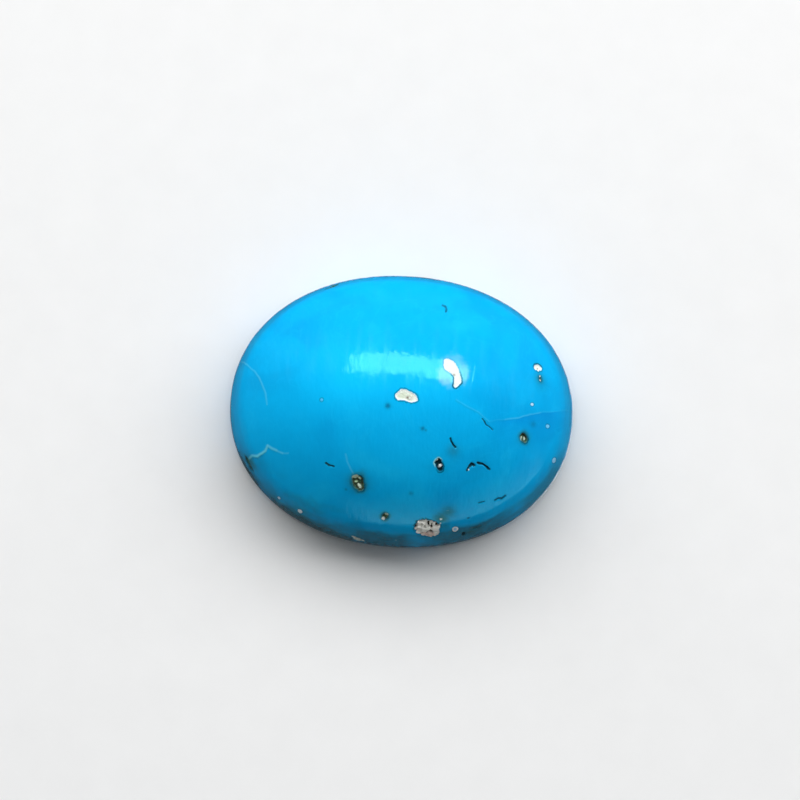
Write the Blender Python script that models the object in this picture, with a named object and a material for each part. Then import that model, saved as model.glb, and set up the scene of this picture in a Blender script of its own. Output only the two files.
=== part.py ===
"""An oval turquoise cabochon: one polished stone with a high dome, a steep side and a flat back.

Metres, +Z up. The origin is the centre of the flat back, which lies on the plane Z = 0.
X runs along the long axis of the oval, Y along the short axis.
"""
import math

import bmesh
import bpy
from mathutils import Matrix, Vector, noise

MM = 0.001

# Overall size of the stone
LENGTH = 25.4 * MM
WIDTH = 20.15 * MM
THICKNESS = 9.0 * MM

# The plan is a little squarer than an ellipse, whose power would be 2
OUTLINE_POWER = 2.1

# Narrow bevel between the flat back and the side
BACK_BEVEL_IN = 0.45 * MM
BACK_BEVEL_UP = 0.45 * MM

# The side leans in a little at its foot and more at its top, in one arc
SIDE_SLOPE_FOOT = math.radians(87)
SIDE_SLOPE_TOP = math.radians(70)

# A short round shoulder turns the side into the dome
SHOULDER_RADIUS = 2.5 * MM
DOME_SLOPE_FOOT = math.radians(47)

# Below 1, the dome is fuller at the two ends and keeps a faint ridge along its top
DOME_RIDGE_POWER = 0.6

# How finely the stone is cut into facets
SEGMENTS = 96
SIDE_STEPS = 6
SHOULDER_STEPS = 4
DOME_STEPS = 11
APEX_STEP = 0.03

# Pits and sunk patches: name, plan place X and Y, half length, half width, depth, turn in degrees
PITS = (
    ("crystal_pit_left", 2.05, -8.72, 0.62, 0.95, 0.32, 10),
    ("crystal_pit_right", 2.80, -8.86, 0.72, 1.15, 0.36, -6),
    ("crystal_pit_tail", 3.42, -8.22, 0.34, 0.42, 0.16, -35),
    ("olive_pit_upper", -2.84, -5.78, 0.34, 0.44, 0.24, 20),
    ("olive_pit_lower", -2.62, -6.25, 0.38, 0.42, 0.26, -15),
    ("glint_pit", 3.03, -4.35, 0.20, 0.50, 0.28, 12),
    ("upper_streak", 3.86, -2.84, 0.08, 0.42, 0.14, 38),
    ("hook_streak", 5.10, -4.38, 0.11, 0.38, 0.16, -38),
    ("arc_streak", 6.12, -4.18, 0.52, 0.09, 0.15, -26),
    ("side_olive_pit", 8.90, -1.98, 0.26, 0.48, 0.24, 25),
    ("cream_patch_left", -0.05, 0.32, 0.62, 0.42, 0.07, 8),
    ("cream_patch_right", 0.70, 0.14, 0.58, 0.34, 0.07, -25),
    ("white_patch_upper", 3.30, 2.80, 0.42, 0.48, 0.07, 10),
    ("white_patch_lower", 3.86, 1.78, 0.27, 0.68, 0.07, 20),
    ("tan_pit", -0.68, -8.17, 0.26, 0.28, 0.15, 0),
    ("comma_pit", 2.71, 7.12, 0.12, 0.30, 0.13, 25),
    ("grain_pit", 9.70, 3.16, 0.17, 0.22, 0.10, 0),
    ("rim_matrix_pit", -10.95, -4.86, 0.30, 0.62, 0.16, -60),
)
PIT_LUMPINESS = 0.28
PIT_LUMP_SIZE = 0.45 * MM
FINE_PIT_SIZE = 0.6 * MM

# A small chip out of the lower edge: angle round the oval, half length, half height, depth
CHIP_ANGLE = math.radians(139)
CHIP_HALF_LENGTH = 0.62 * MM
CHIP_HALF_HEIGHT = 1.05 * MM
CHIP_DEPTH = 0.34 * MM

TURQUOISE = (0.002, 0.41, 0.80, 1.0)
POLISH_ROUGHNESS = 0.08


def clear_scene():
    for old in list(bpy.data.objects):
        bpy.data.objects.remove(old, do_unlink=True)


def turquoise_material():
    material = bpy.data.materials.new("polished_turquoise")
    material.use_nodes = True
    shader = material.node_tree.nodes["Principled BSDF"]
    shader.inputs["Base Color"].default_value = TURQUOISE
    shader.inputs["Metallic"].default_value = 0.0
    shader.inputs["Roughness"].default_value = POLISH_ROUGHNESS
    return material


def side_rings():
    """Rings of the bevel and the side as (half length, half width, power, height)."""
    back = (LENGTH / 2 - BACK_BEVEL_IN, WIDTH / 2 - BACK_BEVEL_IN, OUTLINE_POWER, 0.0)
    lean_foot = math.pi / 2 - SIDE_SLOPE_FOOT
    lean_top = math.pi / 2 - SIDE_SLOPE_TOP
    rings = [back]
    for step in range(SIDE_STEPS + 1):
        lean = lean_foot + (lean_top - lean_foot) * step / SIDE_STEPS
        inset = side_radius() * (math.cos(lean_foot) - math.cos(lean))
        rise = side_radius() * (math.sin(lean) - math.sin(lean_foot))
        rings.append((LENGTH / 2 - inset, WIDTH / 2 - inset, OUTLINE_POWER, BACK_BEVEL_UP + rise))
    return rings


def side_rise():
    """Height of the side that leaves the whole stone at THICKNESS."""
    shoulder_rise = SHOULDER_RADIUS * (math.cos(DOME_SLOPE_FOOT) - math.cos(SIDE_SLOPE_TOP))
    shoulder_inset = SHOULDER_RADIUS * (math.sin(SIDE_SLOPE_TOP) - math.sin(DOME_SLOPE_FOOT))
    inset_per_rise = math.tan(math.pi / 2 - (SIDE_SLOPE_FOOT + SIDE_SLOPE_TOP) / 2)
    dome_rise_per_width = math.tan(DOME_SLOPE_FOOT / 2)
    dome_width_without_side = WIDTH / 2 - shoulder_inset
    left_over = THICKNESS - BACK_BEVEL_UP - shoulder_rise - dome_rise_per_width * dome_width_without_side
    return left_over / (1 - dome_rise_per_width * inset_per_rise)


def side_radius():
    return side_rise() / (math.cos(SIDE_SLOPE_TOP) - math.cos(SIDE_SLOPE_FOOT))


def shoulder_rings(foot):
    """Rings of the round shoulder, which starts at the side's top ring."""
    half_length, half_width, power, height = foot
    rings = []
    for step in range(1, SHOULDER_STEPS + 1):
        slope = SIDE_SLOPE_TOP + (DOME_SLOPE_FOOT - SIDE_SLOPE_TOP) * step / SHOULDER_STEPS
        inset = SHOULDER_RADIUS * (math.sin(SIDE_SLOPE_TOP) - math.sin(slope))
        rise = SHOULDER_RADIUS * (math.cos(slope) - math.cos(SIDE_SLOPE_TOP))
        rings.append((half_length - inset, half_width - inset, power, height + rise))
    return rings


def dome_rings(foot):
    """Rings of the dome, an arc across the width that shrinks to the apex."""
    half_length, half_width, power, height = foot
    arc_radius = half_width / math.sin(DOME_SLOPE_FOOT)
    rings = []
    for step in range(1, DOME_STEPS + 1):
        slope = DOME_SLOPE_FOOT * max(1 - step / DOME_STEPS, APEX_STEP)
        share = math.sin(slope) / math.sin(DOME_SLOPE_FOOT)
        rounder = 2 + (power - 2) * share ** 2
        rise = arc_radius * (math.cos(slope) - math.cos(DOME_SLOPE_FOOT))
        ridge = (half_length - half_width) * share ** DOME_RIDGE_POWER
        rings.append((ridge + half_width * share, half_width * share, rounder, height + rise))
    return rings


def stone_rings():
    rings = side_rings()
    rings += shoulder_rings(rings[-1])
    rings += dome_rings(rings[-1])
    return rings


def oval_reach(angle, half_length, half_width, power):
    """Distance from the centre to the oval in the direction of angle."""
    across = abs(math.cos(angle) / half_length) ** power
    along = abs(math.sin(angle) / half_width) ** power
    return (across + along) ** (-1 / power)


def add_ring(bm, ring):
    """Make a circle and press it into the ring's oval. Returns its edges."""
    half_length, half_width, power, height = ring
    circle = bmesh.ops.create_circle(bm, cap_ends=False, segments=SEGMENTS, radius=1.0)
    edges = set()
    for vert in circle["verts"]:
        angle = math.atan2(half_width * vert.co.y, half_length * vert.co.x)
        reach = oval_reach(angle, half_length, half_width, power)
        vert.co = Vector((reach * math.cos(angle), reach * math.sin(angle), height))
        edges.update(vert.link_edges)
    return list(edges)


def stone_mesh():
    """Loft the rings from the back to the apex and close both ends."""
    bm = bmesh.new()
    loops = [add_ring(bm, ring) for ring in stone_rings()]
    for lower, upper in zip(loops, loops[1:]):
        bmesh.ops.bridge_loops(bm, edges=lower + upper)
    bmesh.ops.holes_fill(bm, edges=loops[0], sides=SEGMENTS)
    bmesh.ops.holes_fill(bm, edges=loops[-1], sides=SEGMENTS)
    bmesh.ops.recalc_face_normals(bm, faces=bm.faces)
    mesh = bpy.data.meshes.new("turquoise_cabochon")
    bm.to_mesh(mesh)
    bm.free()
    return mesh


def surface_height(x, y):
    """Height of the side or dome over the plan point x, y."""
    lower = None
    for ring in stone_rings()[1:]:
        half_length, half_width, power, height = ring
        reach = oval_reach(math.atan2(y, x), half_length, half_width, power)
        beyond = math.hypot(x, y) - reach
        if beyond > 0 and lower:
            share = lower[0] / (lower[0] - beyond)
            return lower[1] + (height - lower[1]) * share
        lower = (beyond, height)
    return THICKNESS


def surface_normal(x, y):
    step = 0.05 * MM
    slope_x = (surface_height(x + step, y) - surface_height(x - step, y)) / (2 * step)
    slope_y = (surface_height(x, y + step) - surface_height(x, y - step)) / (2 * step)
    return Vector((-slope_x, -slope_y, 1.0)).normalized()


def lumpy_ball(name, place, half_sizes):
    """Make a cutter: a ball with uneven lumps, pressed to half_sizes and set at place."""
    bm = bmesh.new()
    detail = 3 if max(half_sizes) > FINE_PIT_SIZE else 2
    ball = bmesh.ops.create_icosphere(bm, subdivisions=detail, radius=1.0)
    sizing = Matrix.Diagonal((*half_sizes, 1.0))
    for vert in ball["verts"]:
        world = place @ (sizing @ vert.co)
        lump = noise.noise(world / PIT_LUMP_SIZE)
        vert.co = place @ (sizing @ (vert.co * (1 + PIT_LUMPINESS * lump)))
    return cutter_object(name, bm)


def pit_cutters():
    """A flattened ball for each pit, centred on the surface and sunk to the pit's depth."""
    cutters = []
    for name, x_mm, y_mm, half_length, half_width, depth, turn in PITS:
        x, y = x_mm * MM, y_mm * MM
        normal = surface_normal(x, y)
        facing = normal.to_track_quat("Z", "Y").to_matrix().to_4x4()
        spin = Matrix.Rotation(math.radians(turn), 4, "Z")
        place = Matrix.Translation((x, y, surface_height(x, y))) @ facing @ spin
        cutters.append(lumpy_ball(name, place, (half_length * MM, half_width * MM, depth * MM)))
    return cutters


def chip_cutter():
    """A flattened ball that bites the lower edge of the side."""
    reach = oval_reach(CHIP_ANGLE, LENGTH / 2, WIDTH / 2, OUTLINE_POWER)
    edge_point = Vector((reach * math.cos(CHIP_ANGLE), reach * math.sin(CHIP_ANGLE), BACK_BEVEL_UP))
    outward = Matrix.Rotation(CHIP_ANGLE, 4, "Z")
    place = Matrix.Translation(edge_point) @ outward
    return lumpy_ball("rim_chip", place, (CHIP_DEPTH, CHIP_HALF_LENGTH, CHIP_HALF_HEIGHT))


def cutter_object(name, bm):
    mesh = bpy.data.meshes.new(name)
    bm.to_mesh(mesh)
    bm.free()
    cutter = bpy.data.objects.new(name, mesh)
    bpy.context.scene.collection.objects.link(cutter)
    cutter.hide_render = True
    cutter.display_type = "WIRE"
    return cutter


def cut_away(stone, cutter):
    cut = stone.modifiers.new(cutter.name, "BOOLEAN")
    cut.operation = "DIFFERENCE"
    cut.solver = "EXACT"
    cut.object = cutter


def make_cabochon():
    mesh = stone_mesh()
    stone = bpy.data.objects.new("turquoise_cabochon", mesh)
    bpy.context.scene.collection.objects.link(stone)
    mesh.materials.append(turquoise_material())
    mesh.shade_smooth()
    mesh.set_sharp_from_angle(angle=math.radians(35))
    for cutter in pit_cutters() + [chip_cutter()]:
        cut_away(stone, cutter)
    return stone


def main():
    clear_scene()
    make_cabochon()


main()
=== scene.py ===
"""The looks of an oval turquoise cabochon: its polished surface with pits, chalky patches, crystals,
cracks and a chipped rim, its turquoise, and a plain studio. Metres, +Z up, flat back on Z = 0.
"""
import math

import bmesh
import bpy
import numpy as np
from mathutils import Matrix, Vector, noise


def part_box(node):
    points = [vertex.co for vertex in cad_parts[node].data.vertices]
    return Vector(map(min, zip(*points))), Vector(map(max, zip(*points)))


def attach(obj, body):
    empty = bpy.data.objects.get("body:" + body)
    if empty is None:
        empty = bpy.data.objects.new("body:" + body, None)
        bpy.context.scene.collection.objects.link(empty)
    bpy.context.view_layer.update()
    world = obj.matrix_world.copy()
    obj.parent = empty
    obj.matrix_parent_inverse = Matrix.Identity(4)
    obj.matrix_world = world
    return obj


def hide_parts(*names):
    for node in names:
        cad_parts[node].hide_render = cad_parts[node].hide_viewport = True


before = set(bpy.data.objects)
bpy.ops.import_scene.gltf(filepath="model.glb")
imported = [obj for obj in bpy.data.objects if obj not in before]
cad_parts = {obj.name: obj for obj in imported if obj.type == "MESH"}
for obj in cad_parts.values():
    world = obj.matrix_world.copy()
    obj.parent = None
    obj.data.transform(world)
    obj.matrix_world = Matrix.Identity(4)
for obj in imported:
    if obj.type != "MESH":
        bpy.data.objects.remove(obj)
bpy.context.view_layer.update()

NODE = "turquoise_cabochon"
LOW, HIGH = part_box(NODE)
MM = 0.001

# The stone's section, which the frame's box completes
HALF_LENGTH = (HIGH.x - LOW.x) / 2
HALF_WIDTH = (HIGH.y - LOW.y) / 2
THICKNESS = HIGH.z - LOW.z
OUTLINE_POWER = 2.1
BACK_BEVEL = 0.45 * MM
SIDE_SLOPE_FOOT = math.radians(87)
SIDE_SLOPE_TOP = math.radians(70)
SHOULDER_RADIUS = 2.5 * MM
DOME_SLOPE_FOOT = math.radians(47)
DOME_RIDGE_POWER = 0.6
EDGE_ROUND = 0.10 * MM
BEVEL_SLOPE = math.radians(135)

# How finely the surface is divided, everywhere and then again round the markings
GRID = 88
FINE_CUTS = 3
FINE_MARGIN = 0.20 * MM
CRACK_MARGIN = 0.15 * MM
FINE_BLOT = 0.25
RIM_POLAR = math.radians(131)

# Heights that part the ground back from the polish, and a plan distance no point of the stone has
RAISED = 0.1 * MM
POLISHED = 0.3 * MM
ELSEWHERE = 1.0

# The distance masks start at this distance, away from every marking
FAR = 2.0 * MM

# The view of the photograph
VIEW_ELEVATION = math.radians(84)
VIEW_TURN = math.radians(3.5)
VIEW_DISTANCE = 190 * MM
VIEW_WIDTH = 58.84 * MM
VIEW_CENTRE = Vector((-0.15 * MM, 0.68 * MM, 2.0 * MM))
SENSOR_WIDTH = 36.0

CORNER_CUT = 0.22


def in_metres(corners):
    """The same corners, which are given in millimetres."""
    return [(x * MM, y * MM) for x, y in corners]


def rounded(corners):
    """A closed outline with its corners cut twice."""
    for _ in range(2):
        pairs = zip(corners, corners[1:] + corners[:1])
        corners = [(ax + (bx - ax) * share, ay + (by - ay) * share)
                   for (ax, ay), (bx, by) in pairs for share in (CORNER_CUT, 1 - CORNER_CUT)]
    return corners


class Marking:
    """A pit or patch: its outline in millimetres in the surface's own plane round a plan point.

    tone runs from blue-black, 0, to olive brown, 1. The rim is darkest towards dark_side and pale
    towards pale_side, both in degrees, where they are given.
    """

    def __init__(self, kind, at, outline, depth, wobble=0.05, floor=0.02, tone=0.5, dark_side=None,
                 pale_side=None):
        self.kind = kind
        self.at = (at[0] * MM, at[1] * MM)
        self.outline = rounded(in_metres(outline))
        self.radius = max(math.hypot(*corner) for corner in self.outline)
        self.depth = depth * MM
        self.wobble = wobble * MM
        self.floor = floor * MM
        self.tone = tone
        self.dark_side = dark_side
        self.pale_side = pale_side


CHALK_PATCH = Marking(
    "chalk", (0.27, 0.28),
    [(-0.75, -0.07), (-0.63, 0.17), (-0.41, 0.33), (-0.30, 0.46), (-0.11, 0.46), (0.16, 0.35),
     (0.38, 0.30), (0.73, 0.12), (0.88, -0.28), (0.78, -0.34), (0.55, -0.42), (0.30, -0.44),
     (0.12, -0.37), (-0.07, -0.29), (-0.28, -0.34), (-0.57, -0.32)],
    depth=0.05, wobble=0.06, floor=0.02)
WHITE_PATCH = Marking(
    "chalk", (3.53, 2.19),
    [(-0.68, 0.92), (-0.49, 1.01), (-0.31, 0.99), (0.04, 0.86), (0.23, 0.58), (0.45, 0.15),
     (0.66, -0.62), (0.50, -0.84), (0.32, -1.00), (0.20, -1.10), (0.08, -1.00), (0.14, -0.63),
     (0.10, -0.28), (-0.08, -0.10), (-0.46, 0.12), (-0.68, 0.34)],
    depth=0.04, wobble=0.03, floor=0.015, dark_side=-65)
# Its rim is darkest towards the upper left, dark_side 115: painted shadow under the pit's upper wall
CRYSTAL_PIT = Marking(
    "crystal", (2.46, -8.86),
    [(-1.04, 0.11), (-0.90, 0.77), (-0.64, 0.93), (-0.14, 0.90), (0.41, 0.74), (0.84, 0.49),
     (0.88, -0.15), (0.92, -0.55), (0.86, -0.95), (0.56, -1.22), (0.17, -1.02), (-0.21, -0.92),
     (-0.72, -0.56)],
    depth=0.24, wobble=0.11, dark_side=115)
OLIVE_PIT = Marking(
    "pit", (-2.81, -5.97),
    [(-0.36, 0.12), (-0.30, 0.42), (-0.10, 0.60), (0.20, 0.56), (0.40, 0.36), (0.46, 0.00),
     (0.50, -0.40), (0.34, -0.66), (0.08, -0.70), (-0.12, -0.44), (-0.30, -0.22)],
    depth=0.20, wobble=0.07, floor=0.05, tone=1.0, dark_side=-10)
GLINT_PIT = Marking(
    "pit", (3.02, -4.39),
    [(-0.20, 0.50), (-0.44, 0.15), (-0.24, -0.23), (-0.02, -0.55), (0.22, -0.46), (0.23, -0.07),
     (0.08, 0.24), (-0.02, 0.40)],
    depth=0.24, wobble=0.03, floor=0.04, tone=0.0, dark_side=-40, pale_side=140)
SIDE_PIT = Marking(
    "pit", (8.90, -1.97),
    [(-0.36, 0.04), (-0.24, 0.26), (-0.03, 0.34), (0.24, 0.14), (0.36, -0.18), (0.22, -0.40),
     (-0.12, -0.27)],
    depth=0.20, wobble=0.03, floor=0.04, tone=0.8, dark_side=-60)
TAN_PIT = Marking(
    "pit", (-0.69, -8.16),
    [(-0.24, 0.00), (-0.05, 0.30), (0.18, 0.22), (0.24, -0.02), (0.02, -0.34), (-0.16, -0.24)],
    depth=0.13, wobble=0.03, floor=0.03, tone=1.0)
CAP_PATCH = Marking(
    "chalk", (9.67, 3.16),
    [(-0.36, -0.02), (-0.28, 0.20), (-0.02, 0.30), (0.24, 0.22), (0.36, 0.00), (0.24, -0.14),
     (0.10, -0.10), (0.04, -0.26), (-0.10, -0.14), (-0.24, -0.16)],
    depth=0.07, wobble=0.03, floor=0.02, dark_side=90)
SMALL_GRAIN_PIT = Marking(
    "pit", (9.86, 2.42), [(-0.08, 0.16), (0.08, 0.14), (0.10, -0.20), (-0.06, -0.18)],
    depth=0.07, wobble=0.02, floor=0.02, tone=0.5)
LEFT_RIM_PIT = Marking(
    "pit", (-10.88, -4.70),
    [(-0.36, -0.60), (-0.26, -0.10), (-0.30, 0.24), (-0.04, 0.56), (0.20, 0.34), (0.30, 0.06),
     (0.10, -0.20), (0.06, -0.62)],
    depth=0.20, wobble=0.10, floor=0.04, tone=0.8, dark_side=180)
EDGE_PATCH = Marking(
    "chalk", (-2.60, -9.76),
    [(-0.40, -0.10), (-0.26, 0.30), (-0.06, 0.46), (0.08, 0.84), (0.24, 0.88), (0.38, 0.40),
     (0.40, -0.26), (0.20, -0.60), (-0.06, -0.40), (-0.24, -0.46)],
    depth=0.22, wobble=0.10, floor=0.05, dark_side=180)
BACK_EDGE_PATCH = Marking(
    "pit", (1.15, 9.82),
    [(-0.72, -0.20), (-0.50, 0.10), (-0.16, 0.12), (0.06, 0.36), (0.36, 0.22), (0.78, 0.10),
     (0.52, -0.16), (0.18, -0.22), (-0.10, -0.48), (-0.34, -0.26)],
    depth=0.09, wobble=0.12, floor=0.03, tone=1.0)
FAR_SIDE_PIT = Marking(
    "pit", (-5.60, 8.55),
    [(-0.30, 0.14), (-0.22, 0.44), (0.00, 0.56), (0.14, 0.26), (0.30, 0.12), (0.22, -0.20),
     (0.02, -0.56), (-0.16, -0.30)],
    depth=0.18, wobble=0.11, floor=0.05, tone=0.7, dark_side=60)
MARKINGS = (
    CHALK_PATCH, WHITE_PATCH, CRYSTAL_PIT, OLIVE_PIT, GLINT_PIT, SIDE_PIT, TAN_PIT, CAP_PATCH,
    SMALL_GRAIN_PIT, LEFT_RIM_PIT, EDGE_PATCH, BACK_EDGE_PATCH, FAR_SIDE_PIT)

# Pale grains inside the pits: plan X and Y, half length, half width, turn in degrees, whiteness 0 to 1
GRAINS = (
    (-2.97, -5.58, 0.26, 0.15, 20, 0.22),
    (-2.66, -5.68, 0.15, 0.12, -50, 0.15),
    (-2.92, -5.96, 0.14, 0.11, 10, 0.00),
    (-2.63, -6.26, 0.14, 0.26, 30, 0.35),
    (3.05, -4.50, 0.12, 0.17, -35, 1.00),
    (2.78, -4.10, 0.16, 0.06, 40, 0.45),
    (8.76, -2.06, 0.07, 0.15, -18, 0.35),
    (9.00, -2.09, 0.08, 0.17, 8, 0.45),
    (9.84, 2.60, 0.05, 0.07, 0, 0.60),
    (9.88, 2.32, 0.06, 0.08, 0, 0.50),
    (5.08, -4.58, 0.05, 0.06, 0, 0.90),
    (0.58, 0.15, 0.07, 0.05, 0, 1.00),
    (3.36, -8.10, 0.10, 0.11, 20, 0.85),
    (3.30, -8.42, 0.06, 0.10, 0, 0.70),
    (3.88, -8.29, 0.07, 0.06, 0, 0.60),
    (3.78, -7.47, 0.11, 0.035, 25, 0.30),
    (-0.60, -8.02, 0.13, 0.15, 20, 0.25),
    (-0.80, -8.32, 0.13, 0.12, 30, 0.80),
)

# Flush chalky dots: plan X and Y, radius, whiteness
DOTS = (
    (-5.68, -0.30, 0.10, 0.00), (9.36, 0.45, 0.10, 0.50), (10.61, -0.97, 0.13, 0.08),
    (11.30, -3.27, 0.19, 0.22), (-6.90, -8.04, 0.18, 0.90), (-8.50, -7.16, 0.12, 0.60),
    (4.42, -8.70, 0.22, 1.00), (-4.20, 9.30, 0.10, 0.50),
)

# Dark grooves: depth, half width, points in plan
GROOVES = (
    (0.12, 0.065, ((3.64, -2.52), (3.68, -2.70), (3.84, -2.92), (4.04, -3.12))),
    (0.12, 0.070, ((4.96, -4.62), (5.09, -4.37), (5.26, -4.20))),
    (0.16, 0.115, ((5.16, -4.32), (5.27, -4.19), (5.42, -4.26))),
    (0.13, 0.080, ((5.68, -4.06), (6.06, -4.12), (6.34, -4.27), (6.56, -4.43))),
    (0.07, 0.050, ((5.81, -0.96), (5.98, -1.12), (6.11, -1.36), (6.34, -1.46), (6.62, -1.68))),
    (0.08, 0.070, ((-5.12, -4.72), (-4.84, -4.88), (-4.52, -4.94))),
    (0.055, 0.095, ((2.52, 7.28), (2.74, 7.20), (2.84, 6.96), (2.80, 6.80))),
    (0.06, 0.075, ((7.12, -6.52), (7.40, -6.36), (7.62, -6.36), (7.86, -6.14))),
    (0.05, 0.060, ((5.96, -6.80), (6.34, -6.68))),
    (0.05, 0.060, ((5.66, -8.52), (5.96, -8.46), (6.30, -8.30))),
    (0.10, 0.100, ((5.02, -8.95), (5.10, -8.92))),
    (0.05, 0.070, ((5.26, -7.92), (5.34, -7.88))),
)

# Fine cracks: strength of the light line, strength of the dark line, points in plan
LONG_CRACK = ((6.29, -1.10), (6.90, -0.92), (7.47, -0.85), (8.40, -0.62), (9.25, -0.29), (10.00, -0.05),
              (10.72, 0.09), (12.20, 0.51))
CRACKS = (
    (0.34, 0.15, ((-11.90, 2.70), (-11.20, 2.14), (-10.64, 1.67), (-10.15, 0.95), (-9.80, 0.10),
                  (-9.62, -0.70))),
    (1.35, 0.90, ((-10.80, -4.46), (-10.55, -4.30), (-10.15, -4.32), (-9.81, -4.16), (-9.58, -3.98),
                  (-9.42, -3.62))),
    (1.15, 0.40, ((-9.42, -3.62), (-9.05, -3.82), (-8.70, -3.97))),
    (0.65, 0.15, ((-8.70, -3.97), (-8.54, -4.03), (-8.26, -4.10))),
    (0.32, 0.00, ((-8.26, -4.10), (-7.88, -4.14))),
    (0.38, 0.00, ((-3.72, -4.05), (-3.60, -4.48), (-3.29, -5.09), (-3.06, -5.48))),
    (0.18, 0.30, ((3.87, 0.26), (4.58, -0.11), (5.10, -0.32), (5.50, -0.47), (5.90, -0.80),
                  (6.29, -1.10))),
    (0.06, 0.08, LONG_CRACK[:3]),
    (0.20, 0.10, LONG_CRACK[2:6]),
    (0.09, 0.04, LONG_CRACK[5:]),
    (0.16, 0.25, ((-6.40, 9.70), (-6.10, 9.20), (-5.50, 8.80))),
    (0.12, 0.25, ((9.30, 7.10), (9.10, 6.70), (8.60, 6.50))),
)

# Soft darker clouds and blots in the body colour: plan X and Y, radius, strength
BLOTS = (
    (-0.94, -0.52, 0.20, 0.85), (1.62, -1.96, 0.15, 0.80), (1.84, -2.06, 0.10, 0.60),
    (9.52, -0.97, 0.24, 0.45), (1.08, -6.49, 0.16, 0.50), (-3.57, -6.47, 0.13, 0.60),
    (4.00, -3.60, 0.55, 0.22), (-2.70, -6.10, 0.85, 0.38), (8.95, -2.10, 0.60, 0.25),
    (3.05, -4.45, 0.65, 0.20), (9.95, 2.05, 0.60, 0.30), (5.80, -4.20, 0.80, 0.14),
)

# Pale milky halos: plan X and Y, radius across, radius up, strength
HALOS = (
    (3.05, 1.92, 0.62, 0.75, 0.55), (4.28, 2.20, 0.38, 0.75, 0.38), (3.50, 2.30, 1.15, 1.30, 0.25),
)

# Olive stain round some pits: plan X and Y, radius, strength
STAINS = (
    (3.35, -8.05, 0.55, 0.95), (3.80, -7.60, 0.50, 0.75), (3.60, -8.60, 0.50, 0.50),
    (-2.75, -5.95, 0.62, 0.75), (5.60, -8.70, 0.60, 0.60), (-0.69, -8.16, 0.36, 0.45),
    (-2.50, -5.35, 0.30, 0.45), (3.85, -3.30, 0.40, 0.35), (8.90, -1.90, 0.42, 0.45),
    (-6.90, -7.90, 0.45, 0.30), (6.10, -8.45, 0.40, 0.45), (-10.60, -4.75, 0.55, 0.60),
    (9.80, 2.45, 0.36, 0.45), (-9.90, -4.90, 0.80, 0.16),
)

# Broad zones of painted glow, where the body colour is made brighter to stand in for the haze of overhead
# light round and below the highlight: plan X and Y, radius, strength
PAINTED_GLOW_ZONES = ((-3.40, 1.50, 4.60, 0.95), (0.50, 1.60, 3.60, 0.70), (-6.50, 2.60, 3.00, 0.40),
                (1.50, -4.60, 3.20, 0.35))

# Where the chalk is cream rather than white, and brown spots on it: plan X and Y, radius, strength
CREAM_ZONES = ((0.05, 0.20, 0.60, 1.0), (0.50, 0.15, 0.35, 0.9))
BROWN_SPOTS = ((0.42, 0.16, 0.095, 1.0), (0.56, 0.12, 0.16, 0.40), (3.62, 2.02, 0.09, 0.8),
               (3.42, 2.06, 0.06, 0.6), (3.30, 2.22, 0.05, 0.5), (3.60, 1.72, 0.05, 0.6),
               (-2.86, -9.76, 0.12, 0.5), (9.66, 3.16, 0.07, 0.8))

# Matrix along the rim, and painted shade along the front side: angle round the oval in degrees, half
# spread, share of the reach below which it is full, reach in millimetres up from the back, strength. The
# rows at 264, 300 and 334 degrees darken the band below the front shoulder, where the steep side faces away
# from the light: partly matrix, partly painted shade.
RIM_MATRIX_AND_SHADE = (
    (236, 30, 0.30, 5.6, 1.00), (206, 9, 0.30, 4.8, 0.95), (264, 18, 0.80, 4.9, 0.84),
    (300, 24, 0.84, 4.8, 0.80), (334, 14, 0.80, 4.6, 0.62), (84, 7, 0.30, 1.9, 0.80),
    (139, 6, 0.30, 2.0, 0.80), (40, 12, 0.30, 1.8, 0.45), (165, 7, 0.30, 1.5, 0.40),
)

# The crystal blades fan up from a foot far below their pit; a brown arch parts them from a rosy lobe
CRYSTAL_REACH = 2.2 * MM
CRYSTAL_WALL = (0.02 * MM, -0.08 * MM)
CRYSTAL_FOOT = (0.10 * MM, -3.2 * MM)
CRYSTAL_FAN = 10.5
CRYSTAL_RISE = 0.22 * MM
CRYSTAL_LEDGE = 0.05 * MM
LEDGE_SPAN = 1.3 * MM
LEDGE_TOP = 0.8
TERRACE = 0.50 * MM
TERRACE_RISE = 0.24 * MM
TREAD = 0.8
FIBRE_WIDTH = 0.30 * MM
FIBRE_STRETCH = 0.22
TIP_BAND = (-0.35 * MM, 0.45 * MM)
TIP_RAGGED = 0.55 * MM
LEFT_TIP_BAND = (-0.30 * MM, -0.70 * MM)
LEFT_TIP_RAGGED = 0.5 * MM
LEFT_TIP_SHARE = 0.35
GAP_BAND = (-0.02, -0.30)
ROOT_GAP = 0.35
BETWEEN_BLADES = 0.22
BLADE_MEAN = 0.86
CRYSTAL_ARCH = in_metres([(-0.28, -0.58), (-0.18, -0.48), (0.00, -0.40), (0.20, -0.28), (0.42, -0.36),
                          (0.50, -0.52)])
ARCH_BAND = (0.13 * MM, 0.02 * MM)
ARCH_RAGGED = 0.03 * MM
ARCH_CUT = 0.9
BREAK_BAND = (-0.45, 0.10)
LOBE_EDGE = 0.14 * MM
LOBE_CENTRE = 0.15 * MM
LOBE_SIDES = (0.62 * MM, 0.45 * MM)

# Grains and dots
GRAIN_REACH = 0.6 * MM
GRAIN_SIDE = (0.03 * MM, -0.08 * MM)
GRAIN_SWELL = 0.75
DOT_REACH = 0.8 * MM
DOT_LEAN = 0.80
DOT_RING = 0.06 * MM
DOT_RING_DEPTH = 0.012 * MM

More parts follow.
